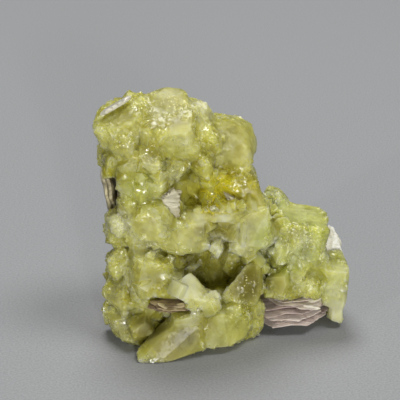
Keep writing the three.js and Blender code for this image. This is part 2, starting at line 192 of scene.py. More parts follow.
# broad faces with few small crystals, in mm: middle and reach
smoothPlaces = [
    ((15.5, 2.5, 21.6), 6), ((-17.6, -6.1, 43.2), 3.6), ((-7.3, -8.5, 42.3), 2.8), ((2.1, -2.1, 38.2), 6.4),
    ((6, 3, 35), 6), ((4.7, -4.5, 27.5), 3), ((-12.9, -9.6, 24.1), 2), ((-6.5, -10, 22.5), 2.6),
    ((5.5, -6, 22.6), 3.2), ((0.1, -8.1, 25.8), 3.4), ((-4.3, -8.8, 25.9), 3.4), ((-7, -12.7, 14.3), 4),
    ((-8.9, -14.4, 3.5), 6), ((0.8, -11.4, 4.6), 5), ((21, -3.2, 12.5), 3.4), ((21.4, -1.8, 3.9), 3.8),
    ((-10, -2.2, 46.3), 3.6), ((-13.4, -10.3, 15), 3), ((16.7, -1.4, 12.1), 2.6), ((10.9, -4.6, 10.9), 2.4),
    ((4.5, -7.1, 11.7), 5), ((9.5, -1.2, 21.7), 2.6), ((-13.5, -11.1, 4.5), 4.4), ((4.6, -6.4, 20), 3.4),
]


def planesOf(habit):
    # every face of a habit, with those that the crystal's symmetry repeats
    sine = math.sin(cell["beta"])
    planes = {}
    for (h, k, l), distance in habits[habit]:
        for face in {(h, k, l), (-h, k, -l), (h, -k, l), (-h, -k, -l)}:
            alongA = face[0] / (cell["a"] * sine) - face[2] * math.cos(cell["beta"]) / (cell["c"] * sine)
            normal = Vector((alongA, face[1] / cell["b"], face[2] / cell["c"])).normalized()
            planes[face] = (normal, distance)
    return list(planes.values())


def solidInside(planes):
    # the convex solid inside every plane, scaled to a half width of 1: its corners and its flat faces
    corners = []
    for i, (a, da) in enumerate(planes):
        for j in range(i + 1, len(planes)):
            for b, db in planes[j + 1 :]:
                rows = Matrix((a, planes[j][0], b))
                if abs(rows.determinant()) < 1e-3:
                    continue
                point = rows.inverted() @ Vector((da, planes[j][1], db))
                inside = all(n.dot(point) < d + 1e-5 for n, d in planes)
                if inside and all((q - point).length > 1e-3 for q in corners):
                    corners.append(point)
    faces = []
    for normal, distance in planes:
        on = [i for i, p in enumerate(corners) if abs(normal.dot(p) - distance) < 1e-4]
        if len(on) < 3:
            continue
        middle = sum((corners[i] for i in on), Vector()) / len(on)
        side = (corners[on[0]] - middle).normalized()
        up = normal.cross(side)
        on.sort(key=lambda i: math.atan2((corners[i] - middle).dot(up), (corners[i] - middle).dot(side)))
        faces.append(on)
    size = [max(abs(p[axis]) for p in corners) for axis in range(3)]
    return [Vector((p.x / size[0], p.y / size[1], p.z / size[2])) for p in corners], faces


crystalShapes = {habit: solidInside(planesOf(habit)) for habit in habits}


def nearPlace(point, places):
    # 1 at a place's middle and 0 outside its reach, the largest over the list
    return max([0.0] + [1 - (Vector(at) * mm - point).length / (reach * mm) for at, reach in places])


def tinted(point, places):
    # how strongly a point is tinted, by whichever place tints it most
    reached = [
        strength * min(1, cluster["tintFill"] * (1 - (Vector(at) * mm - point).length / (reach * mm)))
        for at, reach, strength in places
    ]
    return max(0.0, *reached)


def splitLong(bm):
    # splits the edges that are longer than the limit, and leaves only triangles
    bmesh.ops.triangulate(bm, faces=[f for f in bm.faces if len(f.verts) > 3])
    for _ in range(3):
        long = [e for e in bm.edges if e.calc_length() > cluster["edge"] * mm]
        bmesh.ops.subdivide_edges(bm, edges=long, cuts=1)
        bmesh.ops.triangulate(bm, faces=[f for f in bm.faces if len(f.verts) > 3])


def softened(bm):
    # each point moves part of the way to its neighbours' middle: first only outwards, which fills the
    # grooves where crystals have grown together, then every edge a little, then where the crystal is worn
    index = {vert: i for i, vert in enumerate(bm.verts)}
    pairs = np.array([(index[e.verts[0]], index[e.verts[1]]) for e in bm.edges])
    places = np.array([v.co for v in bm.verts])
    normals = np.array([v.normal for v in bm.verts])
    worn = np.array([nearPlace(v.co, wornPlaces) > 0 for v in bm.verts])[:, None]
    closed = np.array([nearPlace(v.co, openPlaces) == 0 for v in bm.verts])[:, None]
    count = np.bincount(pairs.ravel(), minlength=len(places))[:, None]
    for stage, (times, share) in cluster["softened"].items():
        for _ in range(times):
            total = np.zeros_like(places)
            np.add.at(total, pairs[:, 0], places[pairs[:, 1]])
            np.add.at(total, pairs[:, 1], places[pairs[:, 0]])
            move = total / count - places
            outwards = closed * ((move * normals).sum(1, keepdims=True) > 0)
            places += move * share * {"grooves": outwards, "edges": 1, "worn": worn}[stage]
    for vert, place in zip(bm.verts, places):
        vert.co = place


def markFlats(bm, dice):
    # gives every flat face of a crystal its own tone and its own degree of etching
    tone = bm.faces.layers.float.new("faceTone")
    etch = bm.faces.layers.float.new("faceEtch")
    seen = set()
    bm.faces.ensure_lookup_table()
    for first in bm.faces:
        if first.index in seen:
            continue
        seen.add(first.index)
        value, rough = dice.random(), dice.random()
        front = [first]
        while front:
            face = front.pop()
            face[tone] = value
            face[etch] = rough
            for edge in face.edges:
                for other in edge.link_faces:
                    if other.index not in seen and other.normal.dot(first.normal) > cluster["flat"]:
                        seen.add(other.index)
                        front.append(other)


def etchedCopy(name, node):
    # the solid's own mesh, welded, with its flat faces marked and its edges rounded
    bm = bmesh.new()
    bm.from_mesh(node.data)
    bmesh.ops.remove_doubles(bm, verts=bm.verts, dist=1e-7)
    markFlats(bm, random.Random(cluster["seed"] + 1))
    splitLong(bm)
    bm.normal_update()
    softened(bm)
    mesh = bpy.data.meshes.new(name)
    bm.to_mesh(mesh)
    bm.free()
    return mesh


def skinPoints(mesh, count, dice):
    # points spread at random over a mesh by area, each with the way its face looks
    mesh.calc_loop_triangles()
    triangles = mesh.loop_triangles
    reach = np.cumsum([t.area for t in triangles])
    picks = np.searchsorted(reach, [dice.random() * reach[-1] for _ in range(count)])
    for pick in picks:
        a, b, c = (mesh.vertices[i].co for i in triangles[int(pick)].vertices)
        u, v = dice.random(), dice.random()
        if u + v > 1:
            u, v = 1 - u, 1 - v
        yield a + (b - a) * u + (c - a) * v, triangles[int(pick)].normal.copy()


def inCrevice(point, normal, half, skin, dice):
    # whether 4 of 6 ways out meet more skin close by, both from the skin and from the crystal's tip
    for rise in (0.05 * mm, 1.1 * half):
        met = 0
        for _ in range(6):
            lean = Vector((dice.uniform(-1, 1), dice.uniform(-1, 1), dice.uniform(-1, 1)))
            way = (normal + 0.9 * lean).normalized()
            met += skin.ray_cast(point + normal * rise, way, cluster["crevice"] * mm)[0] is not None
        if met < 4:
            return False
    return True


def placesToGrow(mesh, growth, dice, matrixTree, patchSeed):
    # where the crystals of one growth stand: spaced out, in patches about 6 mm across, off the smooth
    # faces and the mica
    low, high = cadBox
    skin = BVHTree.FromPolygons([v.co for v in mesh.vertices], [tuple(p.vertices) for p in mesh.polygons])
    spacing = growth["spacing"] * mm
    around = [(i, j, k) for i in (-1, 0, 1) for j in (-1, 0, 1) for k in (-1, 0, 1)]
    taken = {}
    found = []
    for point, normal in skinPoints(mesh, int(cluster["tries"] / growth["spacing"] ** 2), dice):
        half = dice.uniform(*growth["half"]) * mm
        patch = noise.noise(point / mm * cluster["patches"] + Vector((patchSeed, 0, 0))) * 0.9 + 0.5
        drusy = nearPlace(point, glitterPlaces) > 0.2
        if growth["crevices"]:
            if nearPlace(point, openPlaces) or not inCrevice(point, normal, half, skin, dice):
                continue
        elif dice.random() < nearPlace(point, smoothPlaces) * 3:
            continue
        if patch > growth["share"] + 0.15 and not drusy:
            continue
        if matrixTree.find_nearest(point)[3] < cluster["matrixClear"] * mm:
            continue
        if any(point[i] - half < low[i] or point[i] + half > high[i] for i in range(3)):
            continue
        key = tuple(int(c // spacing) for c in point)
        near = [taken.get(tuple(a + b for a, b in zip(key, step))) for step in around]
        if any(q is not None and (q - point).length < spacing for q in near):
            continue
        taken[key] = point
        found.append((point, normal, half, dice.uniform(*growth["sink"])))
    return found


def batched(found, count):
    # the crystals in batches, so that no two in a batch touch
    batches = [[] for _ in range(count)]
    for crystal in found:
        point, _, half, _ = crystal
        for members in batches:
            if all((p - point).length > cluster["apart"] * (h + half) for p, _, h, _ in members):
                members.append(crystal)
                break
    return [members for members in batches if members]


def marked(mesh, dice):
    # a small crystal's faces get their own tone and etching, as the big ones' do
    for layer in ("faceTone", "faceEtch"):
        values = mesh.attributes.new(layer, "FLOAT", "FACE").data
        values.foreach_set("value", [dice.random() for _ in values])
    return mesh


def crystalMesh(members, dice):
    # one mesh of separate small crystals, each turned to stand out of the skin
    points, faces = [], []
    for point, normal, half, deep in members:
        corners, sides = crystalShapes[dice.choice(("stout", "stout", "wedge", "wedge", "cleaved", "spear"))]
        lean = Vector((dice.uniform(-1, 1), dice.uniform(-1, 1), dice.uniform(-1, 1))) * cluster["lean"]
        spin = Euler((0, 0, dice.uniform(0, 6.28))).to_matrix()
        turn = (normal + lean).to_track_quat("Z", "Y").to_matrix() @ spin
        size = Vector([half * dice.uniform(*span) for span in ((0.8, 1.15), (0.7, 1.1), (0.9, 1.4))])
        middle = point - normal * half * deep
        start = len(points)
        points += [middle + turn @ (p * size) for p in corners]
        faces += [[start + i for i in side] for side in sides]
    return marked(meshFrom("batch", points, faces), dice)


def singleMesh(habit, at, half, turn, dice):
    # one crystal with a place of its own
    corners, sides = crystalShapes[habit]
    spin = Euler([math.radians(a) for a in turn]).to_matrix()
    points = [(Vector(at) + spin @ (p * Vector(half))) * mm for p in corners]
    return marked(meshFrom("single", points, sides), dice)


def micaTree():
    # every piece of mica in one search tree
    points, faces = [], []
    for name, node in nodes.items():
        if "mica" in name:
            start = len(points)
            points += [v.co.copy() for v in node.data.vertices]
            faces += [[start + i for i in p.vertices] for p in node.data.polygons]
    return BVHTree.FromPolygons(points, faces)


def growCluster():
    # the etched solid and all its small crystals, joined into one closed mesh
    dice = random.Random(cluster["seed"])
    base = newObject("brazilianite", etchedCopy("brazilianite", nodes["brazilianite_cluster"]))
    matrixTree = micaTree()
    meshes = [singleMesh(*single, dice) for single in singles]
    for number, growth in enumerate(cluster["growths"]):
        found = placesToGrow(base.data, growth, dice, matrixTree, 11.3 * number)
        meshes += [crystalMesh(members, dice) for members in batched(found, growth["batches"])]
        print("growth", number, "crystals", len(found))
    helpers = [newObject("batch", mesh) for mesh in meshes]
    for helper in helpers:
        grow = base.modifiers.new("grow", "BOOLEAN")
        grow.operation = "UNION"
        grow.solver = "MANIFOLD"
        grow.object = helper
    joined = base.evaluated_get(bpy.context.evaluated_depsgraph_get())
    grown = bpy.data.meshes.new_from_object(joined)
    for helper in helpers:
        bpy.data.objects.remove(helper)
    base.modifiers.clear()
    base.data = grown
    print("grown faces", len(grown.polygons))
    return base


# where it is drusy and glitters with tiny crystals, in mm: middle and reach
glitterPlaces = [
    ((-17.9, -7.6, 40.5), 3.4), ((-2.6, -6.4, 40.6), 3), ((-13.2, -7.9, 38), 2.6), ((-18.8, -6.2, 15.3), 3.4),
    ((-18.4, -7.3, 24), 2.8), ((3, -9.6, 8.2), 4), ((14.2, -1.9, 19.5), 4.4), ((16.1, -4.6, 9.5), 3.6),
    ((10, 0, 16.5), 4), ((20, -3, 15), 3), ((4.5, -7.1, 11.7), 3.4), ((-9.3, -3.1, 45.1), 2.6),
    ((-16, -8, 3), 3.4), ((-14.6, -3.2, 45.3), 2.4), ((9.8, 5.8, 24.3), 3), ((-1.5, -8, 19.4), 2.4),
    ((-2.2, -6.6, 27), 2.6),
]

# what is tinted where, in mm: middle, reach and strength. Some tints are painted light and shade
tints = {
    "gold": [  # rich golden crystals in the niche
        ((-1.4, -4, 28.6), 6.4, 1.0), ((-2, -7, 27.4), 3.6, 1.0), ((4, -3, 28.6), 5, 0.35),
        ((2, -3, 32), 5, 0.2), ((-2, -4, 33), 4, 0.4),
    ],
    "deep": [  # olive, where the crystal is thick and clean; in places painted shade that darkens brightly lit tops and faces
        ((-13.2, -7.9, 38), 3.6, 0.6), ((-20, -5.9, 34.8), 4, 0.25), ((-4, -5, 36.6), 4, 0.35),
        ((2.1, -2.1, 38.2), 8, 0.5), ((-1.2, -5.7, 22), 4.4, 1.1), ((-10, -2, 45.8), 5, 0.7),
        ((-4.5, -1.3, 44.5), 4, 0.6), ((-7.3, -8.5, 42.3), 4, 0.25), ((-0.5, -7, 22.8), 3.4, 1.1),
        ((-3, 2, 13), 9, 0.6), ((4.5, -7.1, 11.7), 5.4, 1.0), ((-13.5, -11.1, 4.5), 5, 1.0),
        ((-19.8, -8.2, 9.6), 4, 0.5), ((-17, -5, 21), 4, 0.1), ((9.5, -1.2, 21), 3, 0.7),
        ((1, -12, 5), 6, 0.3), ((-10, -15, 2.6), 5, 1.0), ((-9.5, -5, 31), 3, 0.2),
        ((2, -4.1, 31.2), 4, 0.15), ((-7, -5, 16.8), 2.4, 1.0), ((-13, -8, 19.4), 3.6, 0.1),
        ((-9.4, -7.6, 17.6), 3, 0.7), ((9, -3, 12), 3, 0.15), ((16.7, -1.4, 12.1), 3.4, 0.4),
        ((-12.3, -5.5, 43.2), 3.6, 0.7), ((-17.8, -5, 43), 3, 0.6), ((-3.9, -9.4, 24), 2.4, 1.1),
        ((-6.4, -14.4, 4.9), 3, 1.0), ((4.6, -4, 29.4), 4, 1.0), ((1.6, -4, 31), 3, 0.9),
        ((10.5, -5, 10.4), 3, 0.7), ((-9.5, -6.5, 42.6), 3.4, 0.6), ((-17.8, -7.5, 38), 2.6, 0.5),
        ((-16.3, -8, 37), 4, 0.35), ((-14, -6, 41.4), 5, 0.3), ((-4.6, -9.5, 22), 3, 0.4),
        ((12.6, -3, 19.8), 3.4, 0.5), ((4.4, -6.5, 17.2), 2.6, 0.6), ((-13.6, -11, 14.2), 3.4, 0.5),
        ((-17.8, -9.5, 4.5), 4, 0.7), ((-4, -13, 6.5), 4, 0.7), ((-14.8, 6, 30), 8, 0.2),
        ((2, 10, 12), 9, 0.25),
    ],
    "pale": [  # frosted nearly white, and in places painted light that brightens shaded bands and hollows
        ((-10, -2, 45.8), 5.5, 0.45), ((-4.3, -1.3, 44), 4, 0.7), ((-7.3, -8.5, 42), 4, 0.4),
        ((-18.4, -7.3, 24), 3.6, 0.9), ((-6.5, -10, 22.5), 5, 0.35), ((-12.9, -9.6, 24.1), 4, 0.3),
        ((0.1, -8.9, 25.6), 2.6, 1.0), ((-4.3, -9.6, 26.2), 2, 1.0), ((3, -7.8, 25.4), 2.4, 0.2),
        ((5.5, -6, 23.6), 4, 0.4), ((-7, -12.7, 14.3), 4.6, 0.95), ((-2.4, -12, 11.2), 3, 0.9),
        ((-15, -9, 20.4), 4, 0.45), ((-17.9, -8, 13.5), 3.4, 0.4), ((-1, -10, 11.5), 2.8, 1.0),
        ((-1.2, -6.5, 10.9), 2.4, 0.9), ((-6.7, -7, 13.9), 2.2, 0.8), ((8.4, -3.6, 17.4), 4, 0.5),
        ((20.6, -2, 15.4), 2.8, 0.7), ((21, -2, 8.6), 3.4, 0.7), ((15.4, -5, 10.4), 3, 0.5),
        ((-0.8, -3.4, 35), 3, 0.4), ((-19.5, -8, 4.1), 4, 0.35), ((-13, -9.4, 36.1), 2.6, 0.6),
        ((-9.3, -9.4, 34.4), 2.6, 0.5), ((14, -1, 17), 5, 0.45), ((21.6, -1, 4), 5, 0.9),
        ((22, -2.4, 12), 3.4, 0.45), ((10, 5, 25), 4, 0.6), ((-6.1, -13.2, 8), 2.6, 0.6),
        ((-1.4, -8, 19.6), 3.2, 1.0), ((3.4, -6, 22.8), 1.7, 1.0), ((3.4, -6, 21.2), 1.7, 1.0),
        ((3.4, -6, 19.6), 1.7, 1.0), ((-5.9, -5, 14.4), 2, 0.9), ((2.6, -6.2, 18.1), 3, 0.5),
        ((15.5, 2.5, 21.6), 6, 0.2), ((8, 11, 20), 6, 0.35), ((-10, 11, 38), 6, 0.3),
        ((-15, 12, 14), 5, 0.3),
    ],
    "glassy": [  # clear, with smooth faces
        ((-1.5, -7.4, 19.5), 3, 0.35), ((-5.8, -6.4, 15.2), 2.4, 1.0), ((-2, -7, 27.2), 4, 0.3),
        ((3, -6, 27.2), 3, 0.3), ((-9.3, -9.4, 34.4), 2.4, 0.7), ((9.8, 5.8, 24.3), 3, 0.2),
        ((15.7, -2.3, 16.2), 2.6, 0.6),
    ],
    "paintedShade": [  # painted shade in hollows and under overhangs
        ((-6, -5, 17.3), 3, 1.0), ((8.3, -2.6, 10.5), 2.4, 0.8), ((4.5, -7.1, 11.7), 5, 0.5),
        ((-0.5, -7, 22.8), 3, 0.3), ((-3.9, -9.4, 24), 2, 0.3), ((-6.6, -14.6, 4.4), 3, 0.6),
        ((-2.6, -12.5, 1.5), 4, 0.25), ((-17.8, -9.5, 4.5), 4, 0.2), ((-13.5, -10.6, 4.5), 4, 0.6),
        ((-9.4, -7.4, 17.6), 2, 0.5), ((-19, -8, 6), 4, 0.15),
    ],
    "green": [  # greener all through
        ((14, 0, 18), 12, 0.7), ((9.8, 5.8, 24.3), 5, 1.0), ((20, 0, 10), 8, 0.5),
        ((8, -4, 20), 6, 0.7), ((-15, -8, 31), 5, 0.4), ((2, -10, 5), 6, 0.3),
    ],
}

# clouds of tint at random over the back and the sides: how many, and how strong at most
clouds = {"pale": (22, 0.8), "deep": (16, 0.7), "green": (12, 0.7)}
cloudDice = random.Random(cluster["seed"] + 2)
for name, (count, strength) in clouds.items():
    for _ in range(count):
        middle = (cloudDice.uniform(-22, 22), cloudDice.uniform(6.5, 15), cloudDice.uniform(2, 44))
        tints[name].append((middle, cloudDice.uniform(2.2, 4.5), strength * cloudDice.uniform(0.5, 1)))


def markRidges(bm):
    # 1 on a sharp outer edge and -1 in a sharp groove
    ridge = bm.verts.layers.float.new("ridge")
    for vert in bm.verts:
        angles = [edge.calc_face_angle_signed(0) for edge in vert.link_edges]
        vert[ridge] = max(-1, min(1, cluster["ridge"] * sum(angles) / len(angles)))


def finishCluster(thing):
    # bends the faces a little, and marks each edge's sharpness and each place for the material
    noise.seed_set(cluster["seed"])  # without this the vector noise starts from the clock
    bm = bmesh.new()
    bm.from_mesh(thing.data)
    splitLong(bm)
    bm.normal_update()
    markRidges(bm)
    layers = {name: bm.verts.layers.float.new(name) for name in tints}
    glitter = bm.verts.layers.float.new("glitter")
    sleek = bm.verts.layers.float.new("sleek")
    for vert in bm.verts:
        place = vert.co.copy()
        for name, layer in layers.items():
            vert[layer] = tinted(place, tints[name])
        vert[glitter] = min(1, 2 * nearPlace(place, glitterPlaces))
        vert[sleek] = min(1, 2.5 * nearPlace(place, smoothPlaces))
        for wide, high in cluster["waves"]:
            vert.co += noise.noise_vector(place / (wide * mm)) * high * mm
        vert.co = insideBox(vert.co)
    mesh = thing.data
    bm.to_mesh(mesh)
    bm.free()
    mesh.shade_smooth()
    mesh.set_sharp_from_angle(angle=math.radians(16))  # facets keep their edges
    print("cluster triangles", len(mesh.polygons))


brazilianite = growCluster()
finishCluster(brazilianite)


# Brazilianite: what a user would change in its look, painted light and shade among it. Each colour of a
# tint has beside it how much of it shows at full strength.
crystalLook = {
    "body": [(0.28, "#b5ad40"), (0.45, "#c8c456"), (0.62, "#d3d178"), (0.85, "#e2e1b0")],
    "green": ("#b7c862", 0.6),
    # the olive colour is partly painted shade
    "deep": ("#958b16", 0.85),
    "gold": ("#dcd02c", 0.95),
    # the colour of the painted shade in hollows and under overhangs
    "paintedShade": "#5c5406",
    # the groove colour is painted shade, a darker olive between crystals
    "grooveAndShade": ("#a3a03c", 0.6),
    # the edge colour is a painted highlight along outer edges
    "crest": ("#e2e0a8", 0.42),
    # the frost colour also serves as painted light in shaded places
    "frostAndPaintedLight": "#d3d3b0",
    # the speck colour is painted glints
    "paintedGlint": "#f1edb4",
    "clear": (0.46, 0.2),  # how much light goes through, outside the veils and in them
    "ior": 1.61,
    "absorbs": ("#ece795", 26),  # the colour that is left in its depth, and how dense it is per metre
    "scatter": (0.005, 0.0048, 0.0018),  # metres that red, green and blue go under the skin
    "facets": [(1.5, 0.24, 0.1), (0.55, 0.34, 0.45)],  # mm across, and their tilt on plain and drusy skin
}


def brazilianiteMaterial():
    # Glassy where a face is clean, frosted where it was etched. Light goes into it and comes out
    # softened; thick places are olive. Its colour also holds painted light and shade: pale outer edges, dark
    # grooves and hollows, and bright specks.
    look = crystalLook
    material, tree = newMaterial("brazilianite, grown and etched")
    where = addNode(tree, "ShaderNodeTexCoord").outputs["Object"]
    marks = {
        name: addNode(tree, "ShaderNodeAttribute", attribute_name=name).outputs["Fac"]
        for name in ("faceTone", "faceEtch", "ridge", "glitter", "sleek", *tints)
    }
    scaled = {"operation": "MULTIPLY"}
    added = {"operation": "MULTIPLY_ADD"}

    # cloudy veils 3 mm across, grains 2.2 mm across as the crystals measure, and flecks of 0.22 mm
    veils = addNode(tree, "ShaderNodeTexNoise", {
        "Vector": where,
        "Scale": across(3),
        "Detail": 5,
        "Roughness": 0.62,
    })
    grains = addNode(tree, "ShaderNodeTexVoronoi", {"Vector": where, "Scale": across(2.2)})
    flecks = addNode(tree, "ShaderNodeTexVoronoi", {"Vector": where, "Scale": across(0.22)})
    grain = addNode(tree, "ShaderNodeSeparateColor", {"Color": grains.outputs["Color"]})
    fleck = addNode(tree, "ShaderNodeSeparateColor", {"Color": flecks.outputs["Color"]})

    tone = addNode(tree, "ShaderNodeMath", {0: marks["faceTone"], 1: 0.26}, **scaled)
    tone = addNode(tree, "ShaderNodeMath", {0: grain, 1: 0.2, 2: tone}, **added)
    tone = addNode(tree, "ShaderNodeMath", {0: veils, 1: 0.6, 2: tone}, **added)
    body = addNode(tree, "ShaderNodeValToRGB", {"Fac": tone}, look["body"])
    # the olive tint is partly painted shade on brightly lit tops and faces
    for name in ("green", "deep"):
        colour, share = look[name]
        much = addNode(tree, "ShaderNodeMath", {0: marks[name], 1: share}, **scaled)
        body = addNode(tree, "ShaderNodeMixRGB", {"Fac": much, "Color1": body, "Color2": linear(colour)})
    # painted shade: the colour darkens in hollows and under overhangs
    paintedShade = {"Fac": marks["paintedShade"], "Color1": body, "Color2": linear(look["paintedShade"])}
    body = addNode(tree, "ShaderNodeMixRGB", paintedShade)
    # painted shade: the colour darkens towards olive in the grooves between crystals
    colour, share = look["grooveAndShade"]
    grooveAndShade = addNode(tree, "ShaderNodeMath", {0: marks["ridge"], 1: -share}, use_clamp=True, **scaled)
    body = addNode(tree, "ShaderNodeMixRGB", {"Fac": grooveAndShade, "Color1": body, "Color2": linear(colour)})
    colour, share = look["gold"]
    gold = addNode(tree, "ShaderNodeMath", {0: marks["gold"], 1: share}, **scaled)
    body = addNode(tree, "ShaderNodeMixRGB", {"Fac": gold, "Color1": body, "Color2": linear(colour)})

    # painted highlight along the outer edges, frost and painted light in flecks, and painted glints as bright
    # specks on drusy skin
    colour, share = look["crest"]
    crest = addNode(tree, "ShaderNodeMath", {0: marks["ridge"], 1: share}, use_clamp=True, **scaled)
    body = addNode(tree, "ShaderNodeMixRGB", {"Fac": crest, "Color1": body, "Color2": linear(colour)})
    patchy = addNode(tree, "ShaderNodeMath", {0: fleck, 1: 0.4, 2: 0.55}, **added)
    # frosted patches, partly painted light that brightens shaded places
    frostAndPaintedLight = addNode(tree, "ShaderNodeMath", {0: marks["pale"], 1: patchy}, **scaled)
    body = addNode(tree, "ShaderNodeMixRGB", {"Fac": frostAndPaintedLight, "Color1": body, "Color2": linear(look["frostAndPaintedLight"])})
    # painted glints: bright specks in the colour where it is drusy
    paintedGlint = addNode(tree, "ShaderNodeMath", {0: fleck, 1: 0.92}, operation="GREATER_THAN")
    paintedGlint = addNode(tree, "ShaderNodeMath", {0: paintedGlint, 1: marks["glitter"]}, **scaled)
    body = addNode(tree, "ShaderNodeMixRGB", {"Fac": paintedGlint, "Color1": body, "Color2": linear(look["paintedGlint"])})

    # each face is etched to its own degree, sleek faces least evenly, and grooves are matt and less clear
    rough = addNode(tree, "ShaderNodeMath", {0: marks["faceEtch"], 1: 0.25, 2: 0.1}, **added)
    for much, change in (
        (marks["sleek"], 0.28),
        (marks["glitter"], -0.08),
        (marks["glassy"], -0.4),
        (frostAndPaintedLight, 0.35),
        (grooveAndShade, 0.4),
    ):
        rough = addNode(tree, "ShaderNodeMath", {0: much, 1: change, 2: rough}, **added)
    rough = addNode(tree, "ShaderNodeMath", {0: rough, 1: 0.04}, operation="MAXIMUM")
    clear = addNode(tree, "ShaderNodeMapRange", {
        "Value": veils,
        "From Min": 0.35,
        "From Max": 0.65,
        "To Min": look["clear"][0],
        "To Max": look["clear"][1],
    })
    for much, change, kept in (
        (marks["gold"], 0.1, True),
        (marks["glassy"], 0.5, True),
        (grooveAndShade, -0.75, False),
        (frostAndPaintedLight, -0.3, True),
    ):
        clear = addNode(tree, "ShaderNodeMath", {0: much, 1: change, 2: clear}, use_clamp=kept, **added)

    # facets that each look their own way, least on sleek faces, most where it is drusy
    facing = addNode(tree, "ShaderNodeNewGeometry").outputs["Normal"]
    uneven = addNode(tree, "ShaderNodeMath", {0: marks["sleek"], 1: -0.55, 2: 1.0}, **added)
    for size, plain, drusy in look["facets"]:
        facets = addNode(tree, "ShaderNodeTexVoronoi", {"Vector": where, "Scale": across(size)})
        centred = {0: facets.outputs["Color"], 1: (0.5, 0.5, 0.5)}
        away = addNode(tree, "ShaderNodeVectorMath", centred, operation="SUBTRACT")
        calm = addNode(tree, "ShaderNodeMath", {0: uneven, 1: plain}, **scaled)
        swing = addNode(tree, "ShaderNodeMath", {0: marks["glitter"], 1: drusy, 2: calm}, **added)
        away = addNode(tree, "ShaderNodeVectorMath", {0: away, "Scale": swing}, operation="SCALE")
        facing = addNode(tree, "ShaderNodeVectorMath", {0: facing, 1: away})
    facing = addNode(tree, "ShaderNodeVectorMath", {0: facing}, operation="NORMALIZE")
    fine = addNode(tree, "ShaderNodeTexNoise", {"Vector": where, "Scale": across(0.35), "Detail": 3})
    bump = addNode(tree, "ShaderNodeBump", {
        "Height": fine,
        "Strength": 0.3,
        "Distance": 0.00008,
        "Normal": facing,
    })
    skin = addNode(tree, "ShaderNodeBsdfPrincipled", {
        "Base Color": body,
        "Roughness": rough,
        "IOR": look["ior"],
        "Transmission Weight": clear,
        "Subsurface Weight": 1.0,
        "Subsurface Radius": look["scatter"],
        "Subsurface Scale": 1.0,
        "Normal": bump,
    })
    colour, density = look["absorbs"]
    depth = addNode(tree, "ShaderNodeVolumeAbsorption", {"Color": linear(colour), "Density": density})
    addNode(tree, "ShaderNodeOutputMaterial", {"Surface": skin, "Volume": depth})
    return material


brazilianite.data.materials.clear()
brazilianite.data.materials.append(brazilianiteMaterial())
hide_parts("brazilianite_cluster")
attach(brazilianite, "root")
print("cluster done")


# Mica splits into sheets, so each piece of it is a pile of thin sheets, cut to the form of its solid.
# Lengths are in mm and angles in degrees. "turn" or "lies" is the way its sheets lie, "sheets" how many
# there are, "first" the lowest one that is made, and "fill" how full each is of its share of the height.
# "ragged" and "setBack" are shares of its width, and "grow" is how far it passes its solid's edge. "wave"
# is how wide and high its swells are, and "ridges" are an angle, a spacing and a height.
micas = {
    "lilac_mica_seam": {
        "slot": "lilac_mica", "finish": "lilac", "turn": (4, -2, 4), "sheets": 12, "first": 3,
        "fill": 0.94, "ragged": 0.1, "setBack": 0.1, "wave": (5, 0.8), "grow": 0.9, "rings": 6,
        "chips": 9, "seed": 21,
    },
    "lilac_mica_sliver": {
        "slot": "lilac_mica", "finish": "stained", "turn": (4, 3, 4), "sheets": 5,
        "fill": 0.9, "ragged": 0.1, "setBack": 0.2, "wave": (4, 0.2), "grow": 0.3, "rings": 5,
        "chips": 5, "seed": 22,
    },
    "brown_mica_rind": {
        "slot": "brown_mica", "finish": "brown", "turn": (0, 80, 0), "sheets": 11,
        "fill": 1.5, "ragged": 0.07, "setBack": 0.03, "wave": (3, 0.4), "grow": 1.6, "rings": 5,
        "seed": 23,
    },
    "white_mica_plate": {
        "slot": "white_mica", "finish": "white", "turn": (56, 44, 0), "sheets": 7,
        "fill": 0.85, "ragged": 0.06, "setBack": 0.04, "wave": (6, 0.2), "grow": 1.1, "rings": 6,
        "ridges": (20, 0.5, 0.03), "seed": 24,
    },
    "white_mica_flake_top": {
        "slot": "white_mica", "finish": "white", "lies": (-0.5, 0.12, 0.86), "sheets": 3,
        "fill": 0.9, "ragged": 0.1, "setBack": 0.3, "wave": (4, 0.15), "grow": 0.1, "rings": 9,
        "ridges": (28, 0.35, 0.05), "seed": 25,
    },
    "white_mica_flake_front": {
        "slot": "white_mica", "finish": "cream", "lies": (0.08, -0.99, 0.09), "sheets": 3,
        "fill": 0.9, "ragged": 0.5, "setBack": 0.18, "wave": (3, 0.2), "grow": 0.0, "rings": 10,
        "ridges": (35, 0.4, 0.07), "seed": 26,
    },
    "white_mica_flake_niche": {
        "slot": "white_mica", "finish": "cream", "lies": (0.3, -0.9, 0.33), "sheets": 3,
        "fill": 0.9, "ragged": 0.12, "setBack": 0.25, "wave": (2, 0.15), "grow": 0.0, "rings": 8,
        "ridges": (-30, 0.35, 0.05), "seed": 27,
    },
}
edgePoints = 84  # round the edge of each sheet
thinEdge = 0.35  # how thick a sheet's edge is, as a share of its middle
chipPoints = 16  # round the edge of each chip
chipTone = 1.6  # past every sheet's tone, so that a chip takes the chips' colour


